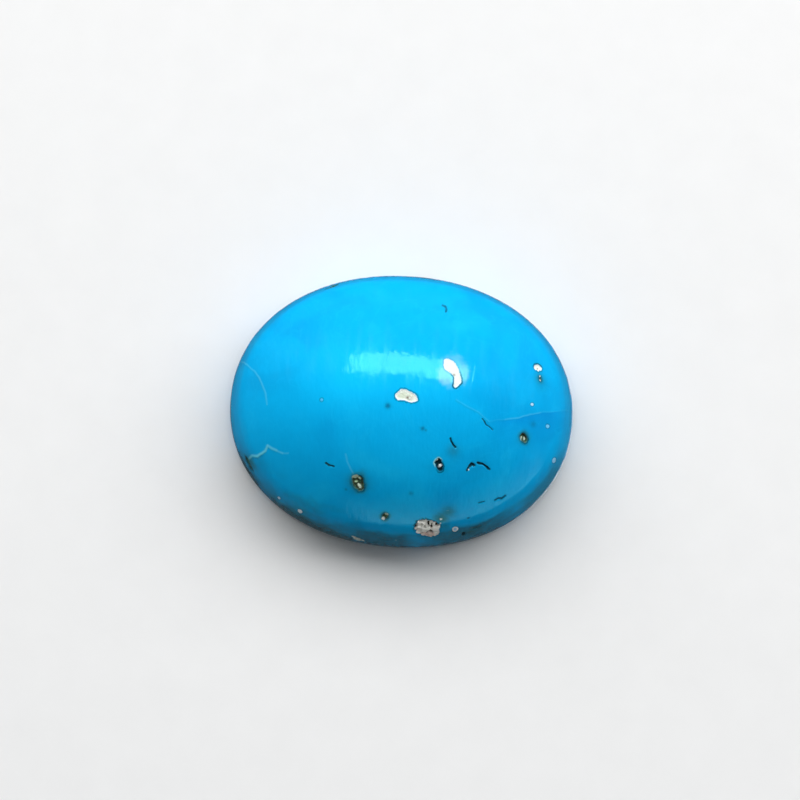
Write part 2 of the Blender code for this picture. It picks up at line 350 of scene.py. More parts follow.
# Grooves and cracks; a crack's dark line lies beside its light one, and its widths are in millimetres
GROOVE_REACH = 0.6 * MM
FULL_GROOVE = 0.10
GROOVE_WALL = 1.5
GROOVE_SHADE = (1.8, 0.4)
GROOVE_THINNING = 0.1
CRACK_FOOT = 1.2 * MM
CRACK_REACH = 0.5 * MM
CRACK_HALF_WIDTH = 0.08
CRACK_WIDENING = 0.05
CRACK_CORE = 0.1
CRACK_MEAN = 0.75
LEAST_CRACK = 0.2
DARK_SIDE = (0.03 * MM, 0.09 * MM)

# Soft spots, halos, the matrix and painted shade on the rim, and the shade beside the long crack
SPOT_SPREAD = 2.6
PAINTED_GLOW_SQUASH = 1.9
HALO_EDGE = (1.15, 0.75)
RIM_BAND_SIDES = (1.25, 0.35)
RIM_BAND_RAGGED = 0.25
SHADE_START = (5.6 * MM, 8.5 * MM)
SHADE_END = (12.4 * MM, 10.8 * MM)
SHADE_EDGE = (-0.02 * MM, 0.10 * MM)
SHADE_FADE = 1.5 * MM
SHADE_FOOT = 2.0 * MM

# The chip out of the lower edge
CHIP_ANGLE = math.radians(139)
CHIP_HALF_LENGTH = 0.62 * MM
CHIP_HALF_HEIGHT = 1.40 * MM
CHIP_DEPTH = 0.32 * MM
CHIP_RIPPLE = 0.12
CHIP_RIPPLES = 14

# Slow unevenness left by hand polishing, and scars on the ground back
POLISH_WAVE = 0.010 * MM
WAVE_START = (1.0 * MM, 2.5 * MM)
BACK_TOP = 0.02 * MM
LEAST_SCAR = 0.35
SCAR_DEPTH = 0.05 * MM

# Layers of unevenness: size of the lumps in millimetres, strength, shift of the pattern
OUTLINE_LUMPS = ((0.22, 1.0, 0.0), (0.09, 0.6, 3.0))
FLOOR_LUMPS = ((0.16, 1.0, 7.0), (0.07, 0.7, 9.0))
FAN_LUMPS = ((0.55, 0.22, 4.0), (0.16, 0.10, 5.0))
BLADE_LUMPS = ((0.17, 1.0, 6.0), (0.08, 0.45, 8.0))
BREAK_LUMPS = ((0.28, 1.0, 12.0),)
CRYSTAL_LUMPS = ((0.22, 0.26, 15.0), (0.09, 0.20, 18.0))
TERRACE_LUMPS = ((0.42, 0.8, 16.0),)
GRAIN_LUMPS = ((0.12, 0.03, 21.0),)
DOT_LUMPS = ((0.15, 0.02, 24.0),)
GROOVE_LUMPS = ((0.10, 0.02, 27.0),)
GROOVE_BREADTH_LUMPS = ((0.22, 0.45, 28.0),)
CRACK_LUMPS_ALONG = ((0.5, 0.05, 30.0),)
CRACK_LUMPS_ACROSS = ((0.5, 0.05, 33.0),)
CRACK_PATCHES = ((1.6, 0.5, 36.0),)
HALO_LUMPS = ((0.30, 0.22, 60.0),)
RIM_LUMPS = ((1.3, 1.0, 42.0), (0.45, 0.35, 45.0))
CHIP_LUMPS = ((0.5, 0.22, 48.0),)
POLISH_LUMPS = ((3.2, 0.5, 51.0),)
BACK_LUMPS = ((1.1, 1.0, 54.0),)


def smooth_step(low, high, values):
    """Rise smoothly from 0 at low to 1 at high."""
    share = np.clip((values - low) / (high - low), 0.0, 1.0)
    return share * share * (3 - 2 * share)


def uneven(points, layers):
    """The sum of layers of smooth noise at each point."""
    total = np.zeros(len(points))
    for size, strength, shift in layers:
        offset = Vector((shift, 2.3 * shift, -1.7 * shift))
        total += [strength * noise.noise(Vector(point) / (size * MM) + offset) for point in points]
    return total


def stone_section():
    """Stretches from the apex over the side to the centre of the back: length, slope, curvature."""
    inset_per_rise = math.tan(math.pi / 2 - (SIDE_SLOPE_FOOT + SIDE_SLOPE_TOP) / 2)
    rise_per_width = math.tan(DOME_SLOPE_FOOT / 2)
    shoulder_rise = SHOULDER_RADIUS * (math.cos(DOME_SLOPE_FOOT) - math.cos(SIDE_SLOPE_TOP))
    shoulder_inset = SHOULDER_RADIUS * (math.sin(SIDE_SLOPE_TOP) - math.sin(DOME_SLOPE_FOOT))
    left_over = THICKNESS - BACK_BEVEL - shoulder_rise - rise_per_width * (HALF_WIDTH - shoulder_inset)
    side_rise = left_over / (1 - rise_per_width * inset_per_rise)
    side_radius = side_rise / (math.cos(SIDE_SLOPE_TOP) - math.cos(SIDE_SLOPE_FOOT))
    dome_width = HALF_WIDTH - side_rise * inset_per_rise - shoulder_inset
    dome_radius = dome_width / math.sin(DOME_SLOPE_FOOT)
    upper_trim = EDGE_ROUND * math.tan((BEVEL_SLOPE - SIDE_SLOPE_FOOT) / 2)
    lower_trim = EDGE_ROUND * math.tan((math.pi - BEVEL_SLOPE) / 2)
    side_length = side_radius * (SIDE_SLOPE_FOOT - SIDE_SLOPE_TOP) - upper_trim
    bevel_length = BACK_BEVEL * math.sqrt(2) - upper_trim - lower_trim
    stretches = [
        (dome_radius * DOME_SLOPE_FOOT, 0.0, 1 / dome_radius),
        (SHOULDER_RADIUS * (SIDE_SLOPE_TOP - DOME_SLOPE_FOOT), DOME_SLOPE_FOOT, 1 / SHOULDER_RADIUS),
        (side_length, SIDE_SLOPE_TOP, 1 / side_radius),
        (EDGE_ROUND * (BEVEL_SLOPE - SIDE_SLOPE_FOOT), SIDE_SLOPE_FOOT, 1 / EDGE_ROUND),
        (bevel_length, BEVEL_SLOPE, 0.0),
        (EDGE_ROUND * (math.pi - BEVEL_SLOPE), BEVEL_SLOPE, 1 / EDGE_ROUND),
    ]
    return stretches, dome_width


STRETCHES, DOME_WIDTH = stone_section()
OUTER_TRAVEL = sum(stretch[0] for stretch in STRETCHES)


def walk_section(travel):
    """Half width and height reached after each travel from the apex."""
    width = np.zeros_like(travel)
    height = np.full_like(travel, THICKNESS)
    done = 0.0
    for length, slope, curvature in STRETCHES:
        step = np.clip(travel - done, 0.0, length)
        if curvature:
            turned = slope + step * curvature
            width += (np.sin(turned) - math.sin(slope)) / curvature
            height -= (math.cos(slope) - np.cos(turned)) / curvature
        else:
            width += step * math.cos(slope)
            height -= step * math.sin(slope)
        done += length
    return width, height


BACK_WIDTH = float(walk_section(np.array([OUTER_TRAVEL]))[0][0])
LEAST_WIDTH = 1e-9


def oval_reach(angle, length, width, power):
    """Distance from the centre to an oval's outline in the direction of angle."""
    across = np.abs(np.cos(angle) / length) ** power
    along = np.abs(np.sin(angle) / width) ** power
    return (across + along) ** (-1 / power)


def stone_points(cube_points):
    """Points of the smooth stone for points on the surface of a cube from -1 to 1."""
    ray = np.tan(cube_points * (math.pi / 4))
    polar = np.arctan2(np.hypot(ray[:, 0], ray[:, 1]), ray[:, 2])
    turn = np.arctan2(ray[:, 1], ray[:, 0])
    width, height = walk_section(np.minimum(polar / RIM_POLAR, 1.0) * OUTER_TRAVEL)
    under = np.clip((polar - RIM_POLAR) / (math.pi - RIM_POLAR), 0.0, 1.0)
    width = np.maximum(width * (1 - under), LEAST_WIDTH)
    on_dome = np.clip(width / DOME_WIDTH, 0.0, 1.0)
    ridge = (HALF_LENGTH - HALF_WIDTH) * on_dome ** DOME_RIDGE_POWER
    back_length = (HALF_LENGTH - HALF_WIDTH + BACK_WIDTH) * width / BACK_WIDTH
    length = np.where(under > 0, back_length, ridge + width)
    angle = np.arctan2(width * np.sin(turn), length * np.cos(turn))
    reach = oval_reach(angle, length, width, 2 + (OUTLINE_POWER - 2) * on_dome ** 2)
    height = np.where(under > 0, 0.0, np.clip(height, 0.0, THICKNESS))
    return np.stack([reach * np.cos(angle), reach * np.sin(angle), height + LOW.z], axis=1)


# The chip's own direction and place in plan
CHIP_OUT = np.array([math.cos(CHIP_ANGLE), math.sin(CHIP_ANGLE)])
CHIP_PLACE = CHIP_OUT * oval_reach(CHIP_ANGLE, HALF_LENGTH, HALF_WIDTH, OUTLINE_POWER)


def line_distance(across, up, corners):
    """Distance of each point to an open line through the corners."""
    best = np.full(across.shape, np.inf)
    for (ax, ay), (bx, by) in zip(corners, corners[1:]):
        run, rise = bx - ax, by - ay
        share = np.clip(((across - ax) * run + (up - ay) * rise) / (run * run + rise * rise), 0, 1)
        best = np.minimum(best, np.hypot(across - ax - share * run, up - ay - share * rise))
    return best


def outline_distance(across, up, corners):
    """Distance to a closed outline, negative inside it."""
    closed = corners + corners[:1]
    inside = np.zeros(across.shape, bool)
    for (ax, ay), (bx, by) in zip(closed, closed[1:]):
        if ay != by:
            spans = (ay > up) != (by > up)
            inside ^= spans & (across < (bx - ax) * (up - ay) / (by - ay) + ax)
    distance = line_distance(across, up, closed)
    return np.where(inside, -distance, distance)


def near_details(points):
    """Which of the points on the smooth stone lie at a marking, a dot, a line or the chip."""
    x, y, height = points.T
    raised = height > RAISED

    def ball(at_x, at_y, radius):
        """Points within radius of the surface over a plan point."""
        plan = np.hypot(x - at_x, y - at_y) + np.where(raised, 0.0, ELSEWHERE)
        return np.hypot(plan, height - height[int(np.argmin(plan))]) < radius

    near = np.zeros(len(points), bool)
    for mark in MARKINGS:
        covered = outline_distance(x - mark.at[0], y - mark.at[1], mark.outline) < FINE_MARGIN
        near |= ball(*mark.at, mark.radius + FINE_MARGIN) & covered
    for at_x, at_y, radius, _strength in (*DOTS, *(row for row in BLOTS if row[2] < FINE_BLOT)):
        near |= ball(at_x * MM, at_y * MM, radius * MM + 0.5 * FINE_MARGIN)
    for _depth, half_width, corners in GROOVES:
        near |= raised & (line_distance(x, y, in_metres(corners)) < half_width * MM + 0.75 * FINE_MARGIN)
    for _light, _dark, corners in CRACKS:
        near |= (height > CRACK_FOOT) & (line_distance(x, y, in_metres(corners)) < CRACK_MARGIN)
    beside = np.hypot(x - CHIP_PLACE[0], y - CHIP_PLACE[1]) < CHIP_HALF_LENGTH + FINE_MARGIN
    return near | (raised & beside & (height < BACK_BEVEL + CHIP_HALF_HEIGHT + FINE_MARGIN))


def mesh_from(bm, name):
    """The finished bmesh as a mesh of its own."""
    mesh = bpy.data.meshes.new(name)
    bm.to_mesh(mesh)
    bm.free()
    return mesh


def place_object(name, data):
    """A new object in the scene."""
    thing = bpy.data.objects.new(name, data)
    bpy.context.scene.collection.objects.link(thing)
    return thing


def divide_round_details(bm):
    """Divide the faces near the markings again, while the mesh is still a cube."""
    faces = bm.faces[:]
    near = near_details(stone_points(np.array([face.calc_center_median() for face in faces])))
    edges = {edge for face, wanted in zip(faces, near) if wanted for edge in face.edges}
    bmesh.ops.subdivide_edges(bm, edges=list(edges), cuts=FINE_CUTS, use_grid_fill=True)


def smooth_stone():
    """A cube, divided finely and pressed into the smooth stone."""
    bm = bmesh.new()
    bmesh.ops.create_cube(bm, size=2.0)
    bmesh.ops.subdivide_edges(bm, edges=bm.edges[:], cuts=GRID - 1, use_grid_fill=True)
    divide_round_details(bm)
    bm.verts.ensure_lookup_table()
    places = stone_points(np.array([vert.co[:] for vert in bm.verts]))
    for vert, place in zip(bm.verts, places):
        vert.co = place
    bmesh.ops.recalc_face_normals(bm, faces=bm.faces)
    return mesh_from(bm, NODE + "_polished")


# Masks that hold a distance, and masks that hold a share from 0 up
DISTANCES = ("chalk", "pit", "crystal", "grain", "dot")
SHARES = ("bright", "creamy", "brown", "edge_dark", "edge_pale", "tone", "rib", "rosy", "arch", "whiteness",
          "blot", "halo", "stain", "matrix", "groove", "light_crack", "dark_crack", "chip", "shade")
LEAST_TILT = 0.15


class Surface:
    """The smooth stone's points and normals, the depth to sink each point, and the masks for the shader."""

    def __init__(self, mesh):
        count = len(mesh.vertices)
        self.points, self.normals = np.empty((count, 3)), np.empty((count, 3))
        mesh.vertices.foreach_get("co", self.points.ravel())
        mesh.vertices.foreach_get("normal", self.normals.ravel())
        self.sink = np.zeros(count)
        self.masks = {name: np.full(count, FAR) for name in DISTANCES}
        self.masks.update((name, np.zeros(count)) for name in SHARES)
        self.polished = self.points[:, 2] > POLISHED

    def seat(self, x, y):
        """Centre, across, up and outward directions of the surface over a plan point."""
        plan = np.hypot(self.points[:, 0] - x, self.points[:, 1] - y)
        nearest = int(np.argmin(plan + np.where(self.polished, 0.0, ELSEWHERE)))
        outward = self.normals[nearest]
        gap = np.array([x, y]) - self.points[nearest, :2]
        height = self.points[nearest, 2] - float(outward[:2] @ gap) / max(outward[2], LEAST_TILT)
        up = np.array([0.0, 1.0, 0.0]) - outward[1] * outward
        up /= np.linalg.norm(up)
        return np.array([x, y, height]), np.cross(up, outward), up

    def near(self, x, y, radius):
        """Indices of the points within radius, and their places across and up from the plan point."""
        centre, across, up = self.seat(x, y)
        away = self.points - centre
        chosen = np.nonzero(np.einsum("ij,ij->i", away, away) < radius * radius)[0]
        return chosen, away[chosen] @ across, away[chosen] @ up

    def deepen(self, chosen, depth):
        """Sink the chosen points at least to depth."""
        self.sink[chosen] = np.maximum(self.sink[chosen], depth)

    def strengthen(self, name, chosen, values):
        """Raise a mask at the chosen points to at least the values."""
        self.masks[name][chosen] = np.maximum(self.masks[name][chosen], values)

    def set_spot(self, name, chosen, distance, white):
        """Note the distance to a grain or dot and its whiteness, where no other one is closer."""
        closer = distance < self.masks[name][chosen]
        for held, values in ((name, distance), ("whiteness", white)):
            self.masks[held][chosen] = np.where(closer, values, self.masks[held][chosen])


# How far outlines spread, where a pit's wall runs beside its outline, and how a rim is tinted
OUTLINE_SPREAD = 0.01 * MM
PIT_WALL = (0.03 * MM, -0.09 * MM)
TINT_REACH = 0.5 * MM
PLAIN_RIM = 0.6
LEAST_RIM = 0.25
DARK_TURN = (-0.3, 0.8)
PALE_TURN = (0.1, 0.9)


def tint_rim(surface, mark, chosen, angle, distance):
    """Make a marking's rim darker on one side and paler on another."""
    dark = np.full(distance.shape, PLAIN_RIM)
    pale = np.zeros(distance.shape)
    if mark.dark_side is not None:
        facing = np.cos(angle - math.radians(mark.dark_side))
        dark = LEAST_RIM + (1 - LEAST_RIM) * smooth_step(*DARK_TURN, facing)
    if mark.pale_side is not None:
        pale = smooth_step(*PALE_TURN, np.cos(angle - math.radians(mark.pale_side)))
    beside = distance < TINT_REACH
    for name, values in (("edge_dark", dark * (1 - pale)), ("edge_pale", pale)):
        surface.masks[name][chosen[beside]] = values[beside]
    surface.masks["tone"][chosen[beside]] = mark.tone


def mark_outlines(surface):
    """Sink the patches and pits and note the distance to their outlines."""
    for mark in MARKINGS:
        chosen, across, up = surface.near(*mark.at, mark.radius + FAR)
        points = surface.points[chosen]
        distance = outline_distance(across, up, mark.outline)
        distance += mark.wobble * uneven(points, OUTLINE_LUMPS) - OUTLINE_SPREAD
        held = surface.masks[mark.kind]
        held[chosen] = np.minimum(held[chosen], distance)
        tint_rim(surface, mark, chosen, np.arctan2(up, across), distance)
        depth = mark.depth + mark.floor * uneven(points, FLOOR_LUMPS)
        surface.deepen(chosen, smooth_step(*PIT_WALL, distance) * depth)


def crystal_blades(points, across, up, broken):
    """Height of the crystal blades, about 0 to 1, with gaps between their tips above and on the left."""
    fan = (across - CRYSTAL_FOOT[0]) / (up - CRYSTAL_FOOT[1]) * CRYSTAL_FAN + uneven(points, FAN_LUMPS)
    fibres = np.stack([fan * FIBRE_WIDTH, up * FIBRE_STRETCH, np.zeros_like(up)], axis=1)
    tips = smooth_step(*TIP_BAND, up + TIP_RAGGED * broken)
    left_tips = smooth_step(*LEFT_TIP_BAND, across + LEFT_TIP_RAGGED * broken)
    tips = np.maximum(tips, LEFT_TIP_SHARE * left_tips)
    gaps = smooth_step(*GAP_BAND, uneven(fibres, BLADE_LUMPS) + BETWEEN_BLADES * (1 - tips))
    gaps *= ROOT_GAP + (1 - ROOT_GAP) * tips
    return (1 - gaps) * (BLADE_MEAN + uneven(points, CRYSTAL_LUMPS))


def arch_and_lobe(across, up, broken):
    """Shares of the split along the brown arch, and of the rosy lobe below it."""
    arch = line_distance(across, up, CRYSTAL_ARCH) + ARCH_RAGGED * broken
    split = smooth_step(*ARCH_BAND, arch) * smooth_step(*BREAK_BAND, broken)
    arch_top = np.interp(across, [x for x, _ in CRYSTAL_ARCH], [y for _, y in CRYSTAL_ARCH])
    lobe = smooth_step(0.0, LOBE_EDGE, arch_top - up)
    return split, lobe * smooth_step(*LOBE_SIDES, np.abs(across - LOBE_CENTRE))


def raise_crystals(surface):
    """Blades side by side in the crystal pit, on low terraces, none of them above the polish."""
    chosen, across, up = surface.near(*CRYSTAL_PIT.at, CRYSTAL_REACH)
    points = surface.points[chosen]
    broken = uneven(points, BREAK_LUMPS)
    inside = smooth_step(*CRYSTAL_WALL, surface.masks["crystal"][chosen])
    split, lobe = arch_and_lobe(across, up, broken)
    height = np.clip(crystal_blades(points, across, up, broken) * (1 - ARCH_CUT * split), 0.0, 1.0)
    for name, values in (("rib", height), ("rosy", lobe), ("arch", split)):
        surface.masks[name][chosen] = values * inside
    ledge = CRYSTAL_LEDGE * np.clip(up / LEDGE_SPAN, -1.0, LEDGE_TOP)
    tread = (up / TERRACE + uneven(points, TERRACE_LUMPS)) % 1.0
    terraces = TERRACE_RISE * (np.minimum(tread / TREAD, (1 - tread) / (1 - TREAD)) - 0.5)
    sunk = surface.sink[chosen] + inside * (ledge + terraces - height * CRYSTAL_RISE)
    surface.sink[chosen] = np.maximum(sunk, 0.0)


def set_grains(surface):
    """Pale grains stand in the pits."""
    for x, y, half_length, half_width, turn, white in GRAINS:
        chosen, across, up = surface.near(x * MM, y * MM, GRAIN_REACH)
        cos, sin = math.cos(math.radians(turn)), math.sin(math.radians(turn))
        along = (across * cos + up * sin) / (half_length * MM)
        aside = (up * cos - across * sin) / (half_width * MM)
        distance = (np.hypot(along, aside) - 1) * min(half_length, half_width) * MM
        distance += uneven(surface.points[chosen], GRAIN_LUMPS) * MM
        surface.set_spot("grain", chosen, distance, white)
        surface.sink[chosen] *= 1 - GRAIN_SWELL * smooth_step(*GRAIN_SIDE, distance)


def set_dots(surface):
    """Chalky dots are level with the polish, but for a faint ring."""
    for x, y, radius, white in DOTS:
        chosen, across, up = surface.near(x * MM, y * MM, DOT_REACH)
        points = surface.points[chosen]
        flat = np.hypot(points[:, 0] - x * MM, points[:, 1] - y * MM)
        distance = DOT_LEAN * flat + (1 - DOT_LEAN) * np.hypot(across, up) - radius * MM
        distance += uneven(points, DOT_LUMPS) * MM
        surface.set_spot("dot", chosen, distance, white)
        surface.deepen(chosen, smooth_step(DOT_RING, 0.0, np.abs(distance)) * DOT_RING_DEPTH)


def cut_grooves(surface):
    """Short dark grooves, deepest along their line."""
    for depth, half_width, corners in GROOVES:
        distance = line_distance(*surface.points.T[:2], in_metres(corners))
        chosen = np.nonzero(surface.polished & (distance < GROOVE_REACH))[0]
        points = surface.points[chosen]
        reach = distance[chosen] + uneven(points, GROOVE_LUMPS) * MM
        surface.deepen(chosen, smooth_step(half_width * GROOVE_WALL * MM, 0.0, reach) * depth * MM)
        reach += half_width * MM * (uneven(points, GROOVE_BREADTH_LUMPS) + GROOVE_THINNING)
        seen = smooth_step(half_width * GROOVE_SHADE[0] * MM, half_width * GROOVE_SHADE[1] * MM, reach)
        surface.strengthen("groove", chosen, min(1.0, depth / FULL_GROOVE) * seen)


def draw_cracks(surface):
    """Hairlines where cracks meet the polish, each with a light side and a dark side."""
    high = surface.points[:, 2] > CRACK_FOOT
    for light, dark, corners in CRACKS:
        line = in_metres(corners)
        chosen = np.nonzero(high & (line_distance(*surface.points.T[:2], line) < CRACK_REACH))[0]
        points = surface.points[chosen]
        x = points[:, 0] + uneven(points, CRACK_LUMPS_ALONG) * MM
        y = points[:, 1] + uneven(points, CRACK_LUMPS_ACROSS) * MM
        patchy = np.clip(CRACK_MEAN + uneven(points, CRACK_PATCHES), LEAST_CRACK, 1.0)
        half_width = (CRACK_HALF_WIDTH + CRACK_WIDENING * light) * MM
        for name, strength, aside, above in (("light_crack", light, 0.0, 0.0),
                                             ("dark_crack", dark, *DARK_SIDE)):
            gap = line_distance(x + aside, y + above, line)
            seen = smooth_step(half_width, CRACK_CORE * half_width, gap)
            surface.strengthen(name, chosen, strength * patchy * seen)


def soft_spots(surface, name, rows, squash=1.0):
    """Add soft spots to a mask, squashed from top to bottom: plan X and Y, radius, strength."""
    for x, y, radius, strength in rows:
        chosen, across, up = surface.near(x * MM, y * MM, SPOT_SPREAD * radius * MM)
        blur = np.hypot(across, up * squash) / (radius * MM)
        blur += uneven(surface.points[chosen], ((0.4 * radius, 0.25, 39.0),))
        surface.strengthen(name, chosen, strength * np.exp(-np.clip(blur, 0, None) ** 2))


def add_halos(surface):
    """Milky zones in the stone beside the white patch."""
    for x, y, wide, tall, strength in HALOS:
        chosen, across, up = surface.near(x * MM, y * MM, SPOT_SPREAD * max(wide, tall) * MM)
        blur = np.hypot(across / wide, up / tall) / MM + uneven(surface.points[chosen], HALO_LUMPS)
        surface.strengthen("halo", chosen, strength * smooth_step(*HALO_EDGE, blur))


def add_rim_matrix_and_shade(surface):
    """Brown and olive host rock that climbs the side from the lower edge, and painted shade along the front
    side below the shoulder.
    """
    points = surface.points
    angle = np.degrees(np.arctan2(points[:, 1], points[:, 0])) % 360
    ragged = uneven(points, RIM_LUMPS)
    for centre, spread, full, reach, strength in RIM_MATRIX_AND_SHADE:
        off = np.abs((angle - centre + 180) % 360 - 180) / spread
        top = reach * MM * (1 + 0.5 * (1 - full) * ragged)
        climb = smooth_step(top, full * top, points[:, 2])
        beside = smooth_step(*RIM_BAND_SIDES, off + RIM_BAND_RAGGED * ragged)
        surface.strengthen("matrix", slice(None), strength * climb * beside)


def shade_beyond_crack(surface):
    """The long crack on the right dims the stone on its lower side."""
    line = in_metres(LONG_CRACK)
    x, y, height = surface.points.T
    below = np.interp(x, [at_x for at_x, _ in line], [at_y for _, at_y in line]) - y
    along = smooth_step(*SHADE_START, x) * smooth_step(*SHADE_END, x)
    fade = smooth_step(*SHADE_EDGE, below) * np.exp(-np.clip(below, 0, None) / SHADE_FADE)
    surface.masks["shade"][:] = np.where(height > SHADE_FOOT, along * fade, 0.0)


def break_chip(surface):
    """A shell-like chip bitten out of the lower edge."""
    along = np.array([-CHIP_OUT[1], CHIP_OUT[0], 0.0])
    away = surface.points - np.array([*CHIP_PLACE, BACK_BEVEL])
    share = np.hypot(away @ along / CHIP_HALF_LENGTH, away[:, 2] / CHIP_HALF_HEIGHT)
    share += uneven(surface.points, CHIP_LUMPS)
    inside = np.sqrt(np.clip(1 - share * share, 0.0, None))
    inside[np.hypot(away[:, 0], away[:, 1]) >= 2.0 * CHIP_HALF_LENGTH] = 0.0
    surface.masks["chip"][:] = inside
    surface.sink += inside * CHIP_DEPTH * (1 + CHIP_RIPPLE * np.cos(share * CHIP_RIPPLES))


def wave_polish(surface):
    """The polish isn't perfectly even, so its highlights waver a little."""
    wave = 0.5 + uneven(surface.points, POLISH_LUMPS)
    surface.sink += POLISH_WAVE * wave * smooth_step(*WAVE_START, surface.points[:, 2])


def roughen_back(surface):
    """The ground back has shallow scars, and stays flat at its rim."""
    under = surface.points[:, 2] < BACK_TOP
    scars = np.clip(uneven(surface.points, BACK_LUMPS) - LEAST_SCAR, 0.0, None)
    surface.sink += np.where(under, SCAR_DEPTH * scars, 0.0)


def carve(surface):
    """Sink every marking into the surface and fill its masks."""
    mark_outlines(surface)
    raise_crystals(surface)
    set_grains(surface)
    cut_grooves(surface)
    set_dots(surface)
    draw_cracks(surface)
    soft_spots(surface, "blot", BLOTS)
    soft_spots(surface, "stain", STAINS)
    # Painted glow: the body colour is made brighter round and below the highlight
    soft_spots(surface, "bright", PAINTED_GLOW_ZONES, squash=PAINTED_GLOW_SQUASH)
    soft_spots(surface, "creamy", CREAM_ZONES)
    soft_spots(surface, "brown", BROWN_SPOTS)
    add_halos(surface)
    add_rim_matrix_and_shade(surface)
    shade_beyond_crack(surface)
    break_chip(surface)
    wave_polish(surface)
    roughen_back(surface)


def keep_masks(mesh, surface):
    """Store the masks on the mesh; distances are kept in millimetres."""
    for name, values in surface.masks.items():
        layer = mesh.attributes.new(name, "FLOAT", "POINT")
        layer.data.foreach_set("value", (values / MM if name in DISTANCES else values).astype(np.float32))


def polished_stone(material):
    """The finished stone: smooth form, carved markings, masks and material."""
    mesh = smooth_stone()
    surface = Surface(mesh)
    carve(surface)
    sunk = surface.points - surface.normals * surface.sink[:, None]
    sunk[:, 2] = np.maximum(sunk[:, 2], LOW.z)
    mesh.vertices.foreach_set("co", sunk.ravel())
    keep_masks(mesh, surface)
    mesh.shade_smooth()
    mesh.materials.append(material)
    mesh.update()
    return place_object(NODE + "_polished", mesh)


class Nodes:
    """Adds and joins the nodes of one tree."""

    def __init__(self, tree):
        self.tree = tree

    def add(self, kind, inputs=None, **settings):
        node = self.tree.nodes.new(kind)
        for key, value in settings.items():
            setattr(node, key, value)
        for key, value in (inputs or {}).items():
            self.feed(value, node.inputs[key])
        return node

    def feed(self, value, socket):
        """Join a node's output to the socket, or set the socket to a number, vector or colour."""
        if isinstance(value, bpy.types.NodeSocket):
            self.tree.links.new(value, socket)
        else:
            socket.default_value = (*value, 1.0) if socket.type == "RGBA" else value

    def math(self, operation, first, second=0.0, third=0.0, clamp=False):
        node = self.add("ShaderNodeMath", {0: first, 1: second, 2: third}, operation=operation)
        node.use_clamp = clamp
        return node.outputs[0]

    def mask(self, name):
        return self.add("ShaderNodeAttribute", attribute_name=name).outputs["Fac"]

    def product(self, *shares):
        """The shares multiplied together; a name stands for the mask of that name."""
        values = [self.mask(share) if isinstance(share, str) else share for share in shares]
        total = values[0]
        for value in values[1:]:
            total = self.math("MULTIPLY", total, value)
        return total

    def most(self, *values):
        """The largest of the values."""
        total = values[0]
        for value in values[1:]:
            total = self.math("MAXIMUM", total, value)
        return total

    def step(self, value, low, high, to_low=0.0, to_high=1.0):
        """Map value smoothly from low..high to to_low..to_high, held at both ends."""
        node = self.add("ShaderNodeMapRange", {"Value": value, "From Min": low, "From Max": high,
                                               "To Min": to_low, "To Max": to_high},
                        interpolation_type="SMOOTHSTEP")
        return node.outputs["Result"]

    def mix(self, share, first, second, blend="MIX"):
        node = self.add("ShaderNodeMix", data_type="RGBA", blend_type=blend)
        node.clamp_factor = True
        self.feed(share, node.inputs[0])
        self.feed(first, node.inputs[6])
        self.feed(second, node.inputs[7])
        return node.outputs[2]

    def layers(self, base, *rows):
        """Lay colours over a base one after another. Each row is a colour and the shares that multiply."""
        for colour, *shares in rows:
            base = self.mix(self.product(*shares), base, colour)
        return base

    def scale(self, size, finer=1.0):
        """A texture's scale for lumps about size metres across, or as many times smaller as finer says."""
        if isinstance(size, bpy.types.NodeSocket):
            return self.math("DIVIDE", finer, size)
        return finer / size

    def noise(self, vector, size, detail=3.0, roughness=0.5, distortion=0.0, finer=1.0):
        node = self.add("ShaderNodeTexNoise", {
            "Vector": vector, "Scale": self.scale(size, finer), "Detail": detail, "Roughness": roughness,
            "Distortion": distortion})
        return node.outputs["Fac"]


def new_group(name, inputs, outputs):
    """An empty node group with named sockets. Returns its nodes helper, inputs and outputs."""
    tree = bpy.data.node_groups.new(name, "ShaderNodeTree")
    for direction, sockets in (("INPUT", inputs), ("OUTPUT", outputs)):
        for socket, kind in sockets:
            tree.interface.new_socket(socket, in_out=direction, socket_type=kind)
    nodes = Nodes(tree)
    source = nodes.add("NodeGroupInput")
    sink = nodes.add("NodeGroupOutput")
    return nodes, source.outputs, sink.inputs


COLOUR, VALUE, VECTOR = "NodeSocketColor", "NodeSocketFloat", "NodeSocketVector"


def clouded_stone_group():
    """Turquoise with soft clouds, fine mottling, thin wisps and pale flecks."""
    nodes, given, out = new_group(
        "clouded_stone",
        [("Position", VECTOR), ("Body", COLOUR), ("Deep", COLOUR), ("Pale", COLOUR), ("Cloud Size", VALUE),
         ("Fleck Size", VALUE)],
        [("Color", COLOUR)])
    position, cloud, fleck = given["Position"], given["Cloud Size"], given["Fleck Size"]
    clouds = nodes.noise(position, cloud, detail=3.0, roughness=0.45, distortion=0.6)
    mottle = nodes.noise(position, fleck, detail=4.0, roughness=0.6, finer=0.22)
    wisps = nodes.noise(position, cloud, detail=4.0, roughness=0.55, distortion=2.2, finer=0.55)
    thin = nodes.math("ABSOLUTE", nodes.math("SUBTRACT", wisps, 0.5))
    flecks = nodes.add("ShaderNodeTexVoronoi", {
        "Vector": position, "Scale": nodes.scale(fleck), "Randomness": 1.0}).outputs["Distance"]
    colour = nodes.layers(
        given["Body"],
        (given["Deep"], nodes.step(clouds, 0.52, 0.32, 0.0, 0.55)),
        (given["Pale"], nodes.step(clouds, 0.55, 0.72, 0.0, 0.35)),
        (given["Deep"], nodes.step(mottle, 0.35, 0.68, 0.0, 0.16)),
        (given["Pale"], nodes.step(thin, 0.018, 0.0, 0.0, 0.16)),
        (given["Pale"], nodes.step(flecks, 0.20, 0.05, 0.0, 0.22), nodes.step(mottle, 0.52, 0.64)))
    nodes.feed(colour, out["Color"])
    return nodes.tree


